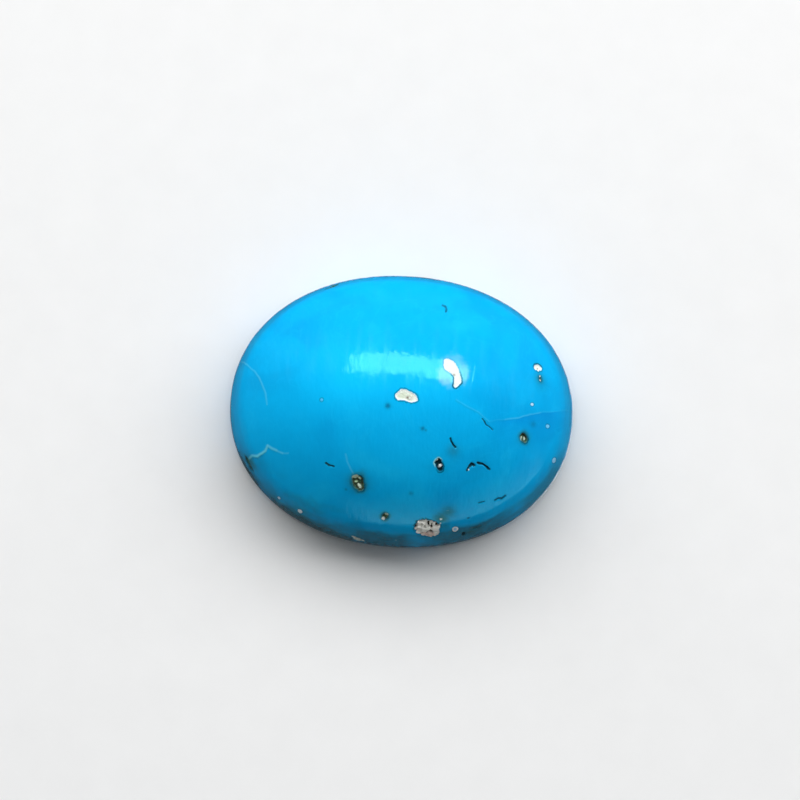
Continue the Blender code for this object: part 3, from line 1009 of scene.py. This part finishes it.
def crisp_edge_group():
    """Turn a distance in millimetres into a crisp ragged mask and a thin ring along its edge."""
    nodes, given, out = new_group(
        "crisp_edge",
        [("Position", VECTOR), ("Distance", VALUE), ("Softness", VALUE), ("Raggedness", VALUE),
         ("Ring Width", VALUE)],
        [("Inside", VALUE), ("Ring", VALUE)])
    fine = nodes.noise(given["Position"], EDGE_GRAIN, detail=3.0, roughness=0.6)
    lift = nodes.product(nodes.math("SUBTRACT", fine, 0.5), given["Raggedness"])
    edge = nodes.math("ADD", given["Distance"], lift)
    half = nodes.product(given["Softness"], 0.5)
    nodes.feed(nodes.step(edge, half, nodes.product(half, -1.0)), out["Inside"])
    middle = nodes.product(given["Ring Width"], RING_OUT)
    past = nodes.math("ABSOLUTE", nodes.math("SUBTRACT", edge, middle))
    nodes.feed(nodes.step(past, given["Ring Width"], 0.0), out["Ring"])
    return nodes.tree


def matrix_vein_group():
    """Brown, rusty and olive host rock, with a fine grain."""
    nodes, given, out = new_group(
        "matrix_vein",
        [("Position", VECTOR), ("Light", COLOUR), ("Dark", COLOUR), ("Olive", COLOUR), ("Size", VALUE)],
        [("Color", COLOUR), ("Grain", VALUE)])
    big = nodes.noise(given["Position"], given["Size"], detail=5.0, roughness=0.65)
    small = nodes.noise(given["Position"], given["Size"], detail=3.0, roughness=0.6, finer=4.5)
    colour = nodes.layers(
        given["Dark"],
        (given["Olive"], nodes.step(big, 0.40, 0.62)),
        (given["Light"], nodes.step(small, 0.52, 0.70)))
    nodes.feed(colour, out["Color"])
    nodes.feed(small, out["Grain"])
    return nodes.tree


# Colours, as light values
TURQUOISE_BODY = (0.0015, 0.43, 0.85)
TURQUOISE_DEEP = (0.001, 0.33, 0.72)
TURQUOISE_PALE = (0.01, 0.54, 0.92)
# Painted glow: the lighter turquoise laid where the overhead light's haze brightens the dome
PAINTED_GLOW_TURQUOISE = (0.003, 0.545, 0.99)
CHALK_WHITE = (0.86, 0.9, 0.84)
CHALK_GREY = (0.66, 0.73, 0.57)
CHALK_BROWN = (0.18, 0.11, 0.08)
DOT_BLUE = (0.1, 0.52, 0.86)
DOT_HEART = (0.1, 0.45, 0.8)
CHIP_BLUE = (0.07, 0.43, 0.6)
RING_TEAL = (0.0, 0.11, 0.19)
GROOVE_TEAL = (0.0, 0.085, 0.12)
RIM_PALE = (0.3, 0.76, 0.8)
PIT_DARK = (0.002, 0.014, 0.024)
PIT_BLUE = (0.002, 0.045, 0.075)
PIT_BROWN = (0.055, 0.062, 0.03)
PIT_OLIVE = (0.09, 0.19, 0.09)
MATRIX_TAN = (0.23, 0.15, 0.08)
MATRIX_DARK = (0.03, 0.05, 0.035)
MATRIX_OLIVE = (0.055, 0.12, 0.09)
GRAIN_OLIVE = (0.36, 0.5, 0.3)
GRAIN_WHITE = (0.9, 0.95, 0.95)
# Near black: painted shade in the gaps between the crystal blades
CRYSTAL_GAP_SHADE = (0.02, 0.014, 0.01)
CRYSTAL_BROWN = (0.075, 0.035, 0.022)
CRYSTAL_TAN = (0.7, 0.6, 0.5)
CRYSTAL_CREAM = (1.0, 0.99, 0.92)
CRYSTAL_ROSE = (0.82, 0.54, 0.46)
CRACK_LIGHT = (0.2, 0.84, 0.98)
CRACK_DARK = (0.0, 0.11, 0.2)
STAIN_GREEN = (0.02, 0.14, 0.13)
# The rim's dark olive teal, laid both as matrix and as painted shade along the front side
RIM_OLIVE_AND_SHADE = (0.02, 0.095, 0.095)
BLOT_BLUE = (0.004, 0.12, 0.26)
MILK = (0.33, 0.68, 0.95)
CARD_GREY = (0.83, 0.83, 0.825)
CARD_WHITE = (0.87, 0.87, 0.865)

# How strongly the tints cover what is under them
SHADE_TINT = 0.32
DARK_CRACK_TINT = 0.80
LIGHT_CRACK_TINT = 0.75
RIM_TINT = 0.85
RIM_ROCK = 0.28
BACK_ROCK = 0.85
CHIP_TINT = 0.80
DOT_RING_TINT = 0.45
PIT_STAIN = 0.65
ARCH_TINT = 0.85

# Sizes of the patterns
CLOUD_SIZE = 4.2 * MM
FLECK_SIZE = 0.16 * MM
ROCK_SIZE = 0.9 * MM
BLOTCH_SIZE = 0.30 * MM
VEIN_SIZE = 6.5 * MM
RIM_GRAIN = 0.5 * MM
SMEAR_SIZE = 2.4 * MM
STREAK_SIZE = 0.34 * MM
SCRATCH_SIZE = 0.16 * MM
GRIT_SIZE = 0.09 * MM
WAVER_SIZE = 0.36 * MM
EDGE_GRAIN = 0.07 * MM
BACK_BAND = (0.40 * MM, 0.02 * MM)

# Softness, raggedness and ring width of each kind of marking, in millimetres
EDGES = {
    "dot": (0.05, 0.06, 0.07), "chalk": (0.05, 0.08, 0.11), "pit": (0.09, 0.12, 0.09),
    "grain": (0.05, 0.06, 0.05), "crystal": (0.06, 0.14, 0.10),
}
RING_OUT = 0.6

# Finish, and the relief that is too fine for the mesh
IOR = 1.5
SPECULAR_LEVEL = 0.30
REFLECTION_TINT = (0.22, 0.95, 1.0)
POLISH_ROUGHNESS = 0.055
SMEAR_ROUGHNESS = 0.05
STREAK_ROUGHNESS = 0.16
GROUND_ROUGHNESS = 0.42
PIT_ROUGHNESS = 0.75
ROCK_RAWNESS = 0.25
RELIEF_DEPTH = 0.010 * MM
WAVER_RELIEF = 2.4
SCRATCH_RELIEF = 0.9
GRIT_RELIEF = 4.0


class StoneNodes(Nodes):
    """The nodes of the stone's material, with the values that more than one of its layers reads."""

    def __init__(self, tree):
        super().__init__(tree)
        self.position = self.add("ShaderNodeTexCoord").outputs["Object"]
        self.crisp = crisp_edge_group()
        self.rock = self.add("ShaderNodeGroup", {
            "Position": self.position, "Light": MATRIX_TAN, "Dark": MATRIX_DARK, "Olive": MATRIX_OLIVE,
            "Size": ROCK_SIZE}, node_tree=matrix_vein_group()).outputs
        self.blotch = self.noise(self.position, BLOTCH_SIZE, detail=4.0, roughness=0.65)
        height = self.add("ShaderNodeSeparateXYZ", {"Vector": self.position}).outputs["Z"]
        self.under = self.step(height, *BACK_BAND)

    def edge(self, name):
        """The inside of a kind of marking, and the thin ring round it."""
        softness, raggedness, ring = EDGES[name]
        node = self.add("ShaderNodeGroup", {
            "Position": self.position, "Distance": self.mask(name), "Softness": softness,
            "Raggedness": raggedness, "Ring Width": ring}, node_tree=self.crisp)
        return node.outputs["Inside"], node.outputs["Ring"]

    def stretched(self, scale, turn=0.0):
        """The position, turned and then scaled, so that a pattern is longest where the scale is small."""
        return self.add("ShaderNodeMapping", {
            "Vector": self.position, "Rotation": (0.0, 0.0, turn), "Scale": scale}).outputs["Vector"]


def body_colour(nodes):
    """The clouded stone, a painted glow round the highlight, and what only tints it."""
    body = nodes.add("ShaderNodeGroup", {
        "Position": nodes.position, "Body": TURQUOISE_BODY, "Deep": TURQUOISE_DEEP, "Pale": TURQUOISE_PALE,
        "Cloud Size": CLOUD_SIZE, "Fleck Size": FLECK_SIZE}, node_tree=clouded_stone_group())
    colour = nodes.layers(body.outputs["Color"], (PAINTED_GLOW_TURQUOISE, "bright"))
    colour = nodes.mix(nodes.product("shade", SHADE_TINT), colour, TURQUOISE_DEEP, "MULTIPLY")
    return nodes.layers(
        colour,
        (MILK, "halo"),
        (BLOT_BLUE, "blot"),
        (STAIN_GREEN, "stain"),
        (CRACK_DARK, "dark_crack", DARK_CRACK_TINT),
        (CRACK_LIGHT, "light_crack", LIGHT_CRACK_TINT))


def lay_rim_and_back(nodes, colour):
    """Matrix, and painted shade along the front side, on the rim; host rock on the ground back; and the
    chip's pale fracture.
    """
    vein = nodes.noise(nodes.position, VEIN_SIZE, detail=5.0, roughness=0.62, distortion=1.4)
    back = nodes.product(nodes.step(vein, 0.50, 0.60), nodes.under, BACK_ROCK)
    ragged = nodes.noise(nodes.position, RIM_GRAIN, detail=4.0, roughness=0.65)
    # The rim mask holds matrix and, along the front side below the shoulder, painted shade
    rim = nodes.product("matrix", nodes.step(ragged, 0.30, 0.62, 0.80, 1.0))
    rock = nodes.most(nodes.product(nodes.step(rim, 0.55, 1.0), RIM_ROCK), back)
    chip = nodes.step(nodes.mask("chip"), 0.05, 0.35)
    colour = nodes.layers(
        colour,
        (RIM_OLIVE_AND_SHADE, rim, RIM_TINT),
        (nodes.rock["Color"], rock),
        (CHIP_BLUE, chip, CHIP_TINT))
    return colour, rock, chip


def lay_chalk(nodes, colour):
    """Chalky dots and patches with their dark outlines."""
    dot, dot_ring = nodes.edge("dot")
    heart = nodes.product(nodes.step(nodes.mask("dot"), -0.06, -0.13, 0.0, 0.7),
                          nodes.step(nodes.mask("whiteness"), 0.91, 0.97))
    dots = nodes.layers(DOT_BLUE, (GRAIN_WHITE, "whiteness"), (DOT_HEART, heart))
    chalk, chalk_ring = nodes.edge("chalk")
    core = nodes.step(nodes.mask("chalk"), -0.07, -0.20)
    blotchy = nodes.step(nodes.blotch, 0.35, 0.60, 0.6, 1.0)
    patches = nodes.layers(CHALK_WHITE, (CHALK_GREY, core, "creamy", blotchy), (CHALK_BROWN, "brown"))
    colour = nodes.layers(
        colour,
        (RING_TEAL, dot_ring, DOT_RING_TINT),
        (dots, dot),
        (RING_TEAL, chalk_ring, "edge_dark"),
        (patches, chalk))
    return colour, chalk


def lay_pits(nodes, colour):
    """Pits, grooves and the grains that stand in the pits."""
    pit, ring = nodes.edge("pit")
    around = nodes.step(nodes.mask("pit"), 0.30, 0.02)
    deep = nodes.step(nodes.rock["Grain"], 0.40, 0.60)
    tan = nodes.step(nodes.blotch, 0.55, 0.64, 0.0, 0.6)
    olive_floor = nodes.layers(PIT_BROWN, (PIT_OLIVE, deep), (MATRIX_TAN, tan))
    floor = nodes.layers(PIT_DARK, (PIT_BLUE, deep), (olive_floor, "tone"))
    groove = nodes.mask("groove")
    groove_floor = nodes.layers(GROOVE_TEAL, (PIT_DARK, nodes.step(groove, 0.3, 0.9)))
    grain, _grain_ring = nodes.edge("grain")
    grains = nodes.layers(GRAIN_OLIVE, (GRAIN_WHITE, "whiteness"))
    colour = nodes.layers(
        colour,
        (STAIN_GREEN, around, "tone", PIT_STAIN),
        (RING_TEAL, ring, "edge_dark"),
        (RIM_PALE, ring, "edge_pale"),
        (floor, pit),
        (groove_floor, nodes.step(groove, 0.05, 0.75, 0.0, 0.93)),
        (grains, grain))
    return colour, pit, groove


def lay_crystals(nodes, colour):
    """The crystal cluster, with painted shade in the gaps between its blades and on its upper-left rim, its
    rosy lobe and brown arch.
    """
    crystal, ring = nodes.edge("crystal")
    rib = nodes.mask("rib")
    rosy = nodes.product("rosy", nodes.step(nodes.blotch, 0.30, 0.62, 0.25, 0.85))
    # Where the blades are lowest the colour is near black, painted shade in the gaps between them
    cluster = nodes.layers(
        CRYSTAL_GAP_SHADE,
        (CRYSTAL_TAN, nodes.step(rib, 0.06, 0.24)),
        (CRYSTAL_CREAM, nodes.step(rib, 0.20, 0.36)),
        (CRYSTAL_ROSE, rosy, nodes.step(rib, 0.15, 0.4)),
        (CRYSTAL_BROWN, "arch", ARCH_TINT))
    return nodes.layers(colour, (RING_TEAL, ring, "edge_dark"), (cluster, crystal)), crystal


def stone_roughness(nodes, raw):
    """Polish with faint handling smears and polishing lines, a ground back, and raw pits."""
    smear = nodes.noise(nodes.position, SMEAR_SIZE, detail=4.0, roughness=0.6, distortion=1.0)
    polish = nodes.step(smear, 0.40, 0.75, POLISH_ROUGHNESS, POLISH_ROUGHNESS + SMEAR_ROUGHNESS)
    streaks = nodes.noise(nodes.stretched((1.0, 0.10, 0.10)), STREAK_SIZE, detail=3.0, roughness=0.6)
    polish = nodes.math("ADD", polish, nodes.step(streaks, 0.42, 0.72, 0.0, STREAK_ROUGHNESS))
    rough = nodes.math("MULTIPLY_ADD", nodes.under, GROUND_ROUGHNESS - POLISH_ROUGHNESS, polish)
    left = nodes.math("SUBTRACT", PIT_ROUGHNESS, rough)
    return nodes.math("MULTIPLY_ADD", raw, left, rough, clamp=True)


def stone_normal(nodes, raw):
    """Relief too fine for the mesh: polishing lines, a grain in the raw spots, scratches on the back."""
    scratches = nodes.noise(nodes.stretched((1.0, 0.04, 1.0), turn=0.5), SCRATCH_SIZE, detail=3.0)
    grit = nodes.noise(nodes.position, GRIT_SIZE, detail=3.0, roughness=0.65)
    waver = nodes.noise(nodes.stretched((1.0, 0.36, 0.36)), WAVER_SIZE, detail=2.0)
    relief = nodes.product(waver, WAVER_RELIEF)
    for pattern, where, strength in ((scratches, nodes.under, SCRATCH_RELIEF), (grit, raw, GRIT_RELIEF)):
        relief = nodes.math("MULTIPLY_ADD", nodes.product(pattern, where), strength, relief)
    bump = nodes.add("ShaderNodeBump", {"Height": relief, "Strength": 1.0, "Distance": RELIEF_DEPTH})
    return bump.outputs["Normal"]


def finished_material(name, helper, inputs_for):
    """A material whose shader sockets take what inputs_for makes with the helper's nodes."""
    material = bpy.data.materials.new(name)
    material.use_nodes = True
    nodes = helper(material.node_tree)
    shader = material.node_tree.nodes["Principled BSDF"]
    for socket, value in inputs_for(nodes).items():
        nodes.feed(value, shader.inputs[socket])
    return material


def turquoise_inputs(nodes):
    """Polished turquoise with everything that grows in it."""
    colour, rock, chip = lay_rim_and_back(nodes, body_colour(nodes))
    colour, chalk = lay_chalk(nodes, colour)
    colour, pit, groove = lay_pits(nodes, colour)
    colour, crystal = lay_crystals(nodes, colour)
    raw = nodes.most(pit, chalk, crystal, groove, chip, nodes.product(rock, ROCK_RAWNESS))
    return {"IOR": IOR, "Specular IOR Level": SPECULAR_LEVEL, "Specular Tint": REFLECTION_TINT,
            "Base Color": colour, "Roughness": stone_roughness(nodes, raw),
            "Normal": stone_normal(nodes, raw)}


TOOTH_SIZE = 3.0 * MM
CARD_ROUGHNESS = 0.9
CARD_SHINE = 0.1


def card_inputs(nodes):
    """Smooth pale card with a barely visible tooth."""
    position = nodes.add("ShaderNodeTexCoord").outputs["Object"]
    tooth = nodes.noise(position, TOOTH_SIZE, detail=4.0)
    return {"Base Color": nodes.mix(tooth, CARD_GREY, CARD_WHITE), "Roughness": CARD_ROUGHNESS,
            "Specular IOR Level": CARD_SHINE}


# The floor, the lamps and the sky; lengths in metres, power in watts
FLOOR_SIZE = 2.0
FLOOR_GAP = 0.02 * MM
KEY_LENGTH, KEY_WIDTH = 0.232, 0.074
KEY_SHIFT = 0.012
KEY_DISTANCE, KEY_ANGLE = 0.30, math.radians(31)
KEY_POWER = 0.70
SOFT_LENGTH, SOFT_WIDTH = 1.60, 0.35
SOFT_DISTANCE, SOFT_ANGLE, SOFT_TURN = 0.45, math.radians(42), math.radians(-6)
SOFT_POWER = 5.8
FILL_PLACE, FILL_SIZE, FILL_POWER = (0.05, -0.40, 0.05), (0.50, 0.10), 0.06
SKY_STRENGTH = 0.22
SKY_LEAN = 0.17
SKY_COLOUR = (0.94, 0.97, 1.0)
HORIZON = (-0.20, 0.15)
UNDER_STRENGTH = 0.05
LEAST_STRENGTH = 0.02
RIM_GLOW = 0.90
GLOW_DEPTH = (-0.950, -0.985)
GLOW_SIDE = (-0.02, 0.12)
GLOW_LEAN = 0.6
CLIP_START, CLIP_END = 0.01, 10.0

# Strips low in front on the right, weaker as they rise: lower edge, upper edge, length, power
SHORE_DISTANCE, SHORE_TURN = 0.40, math.radians(27)
SHORE_STRIPS = ((0.012, 0.060, 0.60, 0.17), (0.060, 0.105, 0.70, 0.11), (0.105, 0.150, 0.80, 0.06),
                (0.150, 0.200, 0.90, 0.03))


def lay_floor():
    """A plain card that the stone rests on."""
    bm = bmesh.new()
    bmesh.ops.create_grid(bm, x_segments=1, y_segments=1, size=FLOOR_SIZE / 2)
    mesh = mesh_from(bm, "floor")
    mesh.transform(Matrix.Translation((0, 0, LOW.z - FLOOR_GAP)))
    mesh.materials.append(finished_material("pale_card", Nodes, card_inputs))
    floor = place_object("floor", mesh)
    floor.visible_glossy = False


def hang_light(name, place, size, power, reflected):
    """A soft rectangular light that faces the stone, for its reflection or for its light alone."""
    lamp = bpy.data.lights.new(name, "AREA")
    lamp.shape = "RECTANGLE"
    lamp.size, lamp.size_y = size
    lamp.energy = power
    light = place_object(name, lamp)
    light.location = place
    light.rotation_euler = (-Vector(place)).to_track_quat("-Z", "Y").to_euler()
    light.visible_camera = False
    light.visible_glossy = reflected
    light.visible_diffuse = not reflected


def pale_sky():
    """A sky a little brighter at the back, over a dim ground that glows only close under the far edge."""
    world = bpy.data.worlds.new("pale_sky")
    world.use_nodes = True
    nodes = Nodes(world.node_tree)
    sky = world.node_tree.nodes["Background"]
    direction = nodes.add("ShaderNodeTexCoord").outputs["Generated"]
    parts = nodes.add("ShaderNodeSeparateXYZ", {"Vector": direction}).outputs
    strength = nodes.step(parts["Z"], *HORIZON, UNDER_STRENGTH, SKY_STRENGTH)
    far = nodes.step(nodes.math("MULTIPLY_ADD", parts["X"], GLOW_LEAN, parts["Y"]), *GLOW_SIDE)
    glow = nodes.product(nodes.step(parts["Z"], *GLOW_DEPTH), far, RIM_GLOW)
    lean = nodes.product(parts["Y"], nodes.step(parts["Z"], *HORIZON, 0.0, SKY_LEAN))
    strength = nodes.math("ADD", lean, nodes.math("ADD", strength, glow))
    nodes.feed(nodes.most(strength, LEAST_STRENGTH), sky.inputs["Strength"])
    nodes.feed(SKY_COLOUR, sky.inputs["Color"])
    return world


def light_studio():
    """A key lamp and a broad soft lamp behind the stone, low strips and a fill in front, and the sky."""
    key = Vector((KEY_SHIFT / KEY_DISTANCE, math.sin(KEY_ANGLE), math.cos(KEY_ANGLE))) * KEY_DISTANCE
    hang_light("key", key, (KEY_LENGTH, KEY_WIDTH), KEY_POWER, reflected=True)
    level = math.sin(SOFT_ANGLE)
    soft = Vector((-math.sin(SOFT_TURN) * level, math.cos(SOFT_TURN) * level, math.cos(SOFT_ANGLE)))
    hang_light("soft", soft * SOFT_DISTANCE, (SOFT_LENGTH, SOFT_WIDTH), SOFT_POWER, reflected=False)
    for low, high, length, power in SHORE_STRIPS:
        place = Vector((math.sin(SHORE_TURN), -math.cos(SHORE_TURN), 0.0)) * SHORE_DISTANCE
        place.z = (low + high) / 2
        hang_light("shore", place, (length, high - low), power, reflected=True)
    hang_light("fill", Vector(FILL_PLACE), FILL_SIZE, FILL_POWER, reflected=False)
    bpy.context.scene.world = pale_sky()


def place_camera():
    """Looks down on the dome from a little in front, as the photograph does."""
    back = Vector((math.cos(VIEW_ELEVATION) * math.sin(VIEW_TURN),
                   -math.cos(VIEW_ELEVATION) * math.cos(VIEW_TURN), math.sin(VIEW_ELEVATION)))
    data = bpy.data.cameras.new("camera")
    data.sensor_width = SENSOR_WIDTH
    data.lens = SENSOR_WIDTH * VIEW_DISTANCE / VIEW_WIDTH
    data.clip_start, data.clip_end = CLIP_START, CLIP_END
    camera = place_object("camera", data)
    camera.location = VIEW_CENTRE + back * VIEW_DISTANCE
    camera.rotation_euler = (-back).to_track_quat("-Z", "Y").to_euler()
    bpy.context.scene.camera = camera


def make_stone():
    """The one piece, in place of the solid's plain mesh."""
    stone = polished_stone(finished_material("polished_turquoise", StoneNodes, turquoise_inputs))
    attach(stone, "root")
    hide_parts(NODE)


make_stone()
lay_floor()
light_studio()
place_camera()
bpy.context.scene.view_settings.view_transform = "Standard"
